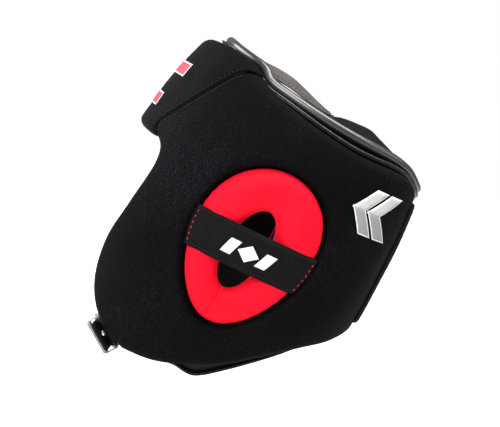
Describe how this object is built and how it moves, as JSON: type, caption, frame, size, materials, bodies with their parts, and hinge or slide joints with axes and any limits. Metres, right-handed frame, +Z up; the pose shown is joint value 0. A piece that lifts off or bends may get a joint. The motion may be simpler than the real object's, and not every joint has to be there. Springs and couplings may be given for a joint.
{
  "type": "sparring head guard",
  "caption": "Padded martial arts head guard with cheek protection, ear rings under elastic bands, crown flaps, a rear closure flap and a buckled chin strap.",
  "frame": {"origin": "midway between the two ear openings, with the guard level as worn", "axes": "+Z up as worn, -Y the way the wearer faces, +X towards the wearer's left ear"},
  "size_m": [0.2038, 0.2366, 0.2708],
  "materials": {
    "neoprene": "matt knitted face of neoprene",
    "foam": "closed-cell foam",
    "vinyl": "glossy black vinyl",
    "red_fabric": "smooth red stretch fabric",
    "elastic": "black woven elastic",
    "white_print": "white screen print",
    "silver_print": "silver transfer print",
    "red_print": "red screen print",
    "webbing": "black woven webbing",
    "flap_fabric": "black brushed fabric laminate",
    "hook_tape": "black hook tape",
    "loop_tape": "black loop tape",
    "steel": "nickel-plated wire"
  },
  "bodies": {
    "shell": {"left_side_cover": "neoprene", "right_side_cover": "neoprene", "left_side_foam": "foam", "right_side_foam": "foam", "left_side_lining_skin": "vinyl", "right_side_lining_skin": "vinyl", "left_side_lining_foam": "foam", "right_side_lining_foam": "foam", "left_ear_ring_cover": "red_fabric", "right_ear_ring_cover": "red_fabric", "left_ear_ring_foam": "foam", "right_ear_ring_foam": "foam", "left_ear_strap": "elastic", "right_ear_strap": "elastic", "left_ear_strap_mark": "white_print", "right_ear_strap_mark": "white_print", "left_side_mark": "silver_print", "right_side_mark": "silver_print", "left_chin_anchor": "webbing", "right_chin_anchor": "webbing", "forehead_cover": "neoprene", "forehead_foam": "foam", "forehead_lining_skin": "vinyl", "forehead_lining_foam": "foam", "forehead_mark": "red_print", "back_pad_skin": "vinyl", "back_pad_foam": "foam", "rear_loop_tape": "loop_tape"},
    "crown_front_flap": {"crown_front_flap": "flap_fabric", "crown_hook_tape": "hook_tape"},
    "crown_rear_flap": {"crown_rear_flap": "flap_fabric", "crown_loop_tape": "loop_tape"},
    "rear_flap": {"rear_flap": "flap_fabric", "rear_hook_tape": "hook_tape"},
    "chin_strap": {"chin_strap_loop": "webbing", "chin_strap_tongue": "webbing", "chin_strap_keeper": "steel", "chin_buckle_frame": "steel"},
    "chin_prong": {"chin_buckle_prong": "steel"},
    "chin_roller": {"chin_buckle_roller": "steel"}
  },
  "joints": [
    {"name": "crown_front_flap_lift", "type": "hinge", "parent": "shell", "child": "crown_front_flap", "pos_m": [0, -0.069, 0.1256], "axis": [1, 0, 0], "range_deg": [0, 80]},
    {"name": "crown_rear_flap_lift", "type": "hinge", "parent": "shell", "child": "crown_rear_flap", "pos_m": [0, 0.087, 0.1046], "axis": [-1, 0, 0], "range_deg": [0, 40]},
    {"name": "rear_flap_open", "type": "hinge", "parent": "shell", "child": "rear_flap", "pos_m": [0.034, 0.1068, 0.026], "axis": [0, 0, -1], "range_deg": [0, 120]},
    {"name": "chin_strap_swing", "type": "hinge", "parent": "shell", "child": "chin_strap", "pos_m": [0, -0.05069, -0.08736], "axis": [1, 0, 0], "range_deg": [-10, 10]},
    {"name": "chin_prong_lift", "type": "hinge", "parent": "chin_strap", "child": "chin_prong", "pos_m": [0.037, -0.07401, -0.12131], "axis": [0, -0.8243, 0.5662], "range_deg": [0, 50]},
    {"name": "chin_roller_spin", "type": "hinge", "parent": "chin_strap", "child": "chin_roller", "pos_m": [0.01777, -0.07713, -0.12585], "axis": [0, -0.8243, 0.5662], "continuous": true}
  ],
  "couplings": [
    {"joint": "crown_rear_flap_lift", "follows": "crown_front_flap_lift", "ratio": 0.5}
  ]
}
